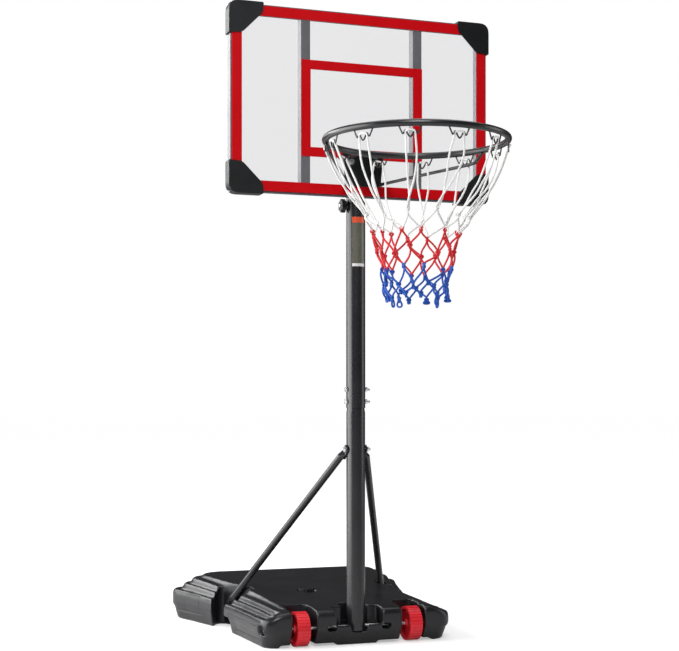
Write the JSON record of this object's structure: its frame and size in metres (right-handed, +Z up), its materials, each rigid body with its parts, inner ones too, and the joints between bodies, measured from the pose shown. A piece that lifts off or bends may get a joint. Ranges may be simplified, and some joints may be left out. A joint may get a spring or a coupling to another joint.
{
  "type": "portable basketball hoop",
  "caption": "Portable basketball hoop: filled base tank on wheels, telescoping strutted pole, framed clear backboard, rim with net.",
  "frame": {"origin": "on the floor, under the axis of the pole, at the centre foot of the tank", "axes": "+Z up along the pole, -Y towards the court where the rim points, +X to the right of a player who faces the board"},
  "size_m": [0.717, 1.2797, 1.6429],
  "materials": {
    "tank_plastic": "blow-moulded black plastic, satin",
    "wheel_plastic": "moulded red plastic",
    "pole_paint": "black powder coat",
    "zinc_steel": "zinc-plated fasteners",
    "knob_plastic": "black plastic",
    "clear_panel": "clear sheet with printed red bands",
    "frame_paint": "dark grey powder coat",
    "corner_plastic": "black moulded guards",
    "rim_paint": "black powder coat",
    "net_cord": "knotted cord in white, red and blue bands"
  },
  "bodies": {
    "stand": {"base_tank": "tank_plastic", "axle_rod": "zinc_steel", "axle_cap_left": "zinc_steel", "axle_cap_right": "zinc_steel", "lower_pole": "pole_paint", "upper_pole": "pole_paint", "pole_bolt_lower": "zinc_steel", "pole_bolt_upper": "zinc_steel", "pole_nut_lower": "zinc_steel", "pole_nut_upper": "zinc_steel", "strut_left": "pole_paint", "strut_right": "pole_paint", "strut_foot_bolt_left": "pole_paint", "strut_foot_bolt_right": "pole_paint", "strut_top_bolt": "zinc_steel", "strut_top_nut": "zinc_steel"},
    "wheel_left": {"wheel_left": "wheel_plastic"},
    "wheel_right": {"wheel_right": "wheel_plastic"},
    "hoop_head": {"inner_pole": "pole_paint", "pole_top_cap": "knob_plastic", "rear_bracket": "pole_paint", "bracket_bolt_lower": "zinc_steel", "bracket_bolt_upper": "zinc_steel", "bracket_nut_lower": "zinc_steel", "bracket_nut_upper": "zinc_steel", "board_panel": "clear_panel", "frame_rail_top": "frame_paint", "frame_rail_bottom": "frame_paint", "frame_rail_left": "frame_paint", "frame_rail_right": "frame_paint", "board_bar_left": "frame_paint", "board_bar_right": "frame_paint", "corner_cap_top_left": "corner_plastic", "corner_cap_top_right": "corner_plastic", "corner_cap_bottom_left": "corner_plastic", "corner_cap_bottom_right": "corner_plastic", "rim_bracket": "rim_paint", "rim_ring": "rim_paint", "rim_bolt_left": "zinc_steel", "rim_bolt_right": "zinc_steel", "rim_nut_left": "zinc_steel", "rim_nut_right": "zinc_steel", "net": "net_cord"},
    "clamp_knob": {"lock_knob": "knob_plastic", "lock_screw": "zinc_steel"},
    "filler_cap": {"filler_cap": "knob_plastic"}
  },
  "joints": [
    {"name": "wheel_left_spin", "type": "hinge", "parent": "stand", "child": "wheel_left", "pos_m": [-0.1555, 0, 0.046], "axis": [1, 0, 0], "continuous": true},
    {"name": "wheel_right_spin", "type": "hinge", "parent": "stand", "child": "wheel_right", "pos_m": [0.1555, 0, 0.046], "axis": [1, 0, 0], "continuous": true},
    {"name": "height_slide", "type": "slide", "parent": "stand", "child": "hoop_head", "axis": [0, 0, 1], "range_m": [0, 0.25]},
    {"name": "clamp_turn", "type": "hinge", "parent": "stand", "child": "clamp_knob", "pos_m": [-0.036, 0, 1.146], "axis": [-1, 0, 0], "range_deg": [0, 360]},
    {"name": "filler_cap_lift", "type": "slide", "parent": "stand", "child": "filler_cap", "axis": [0, 0, 1], "range_m": [0, 0.05]}
  ]
}
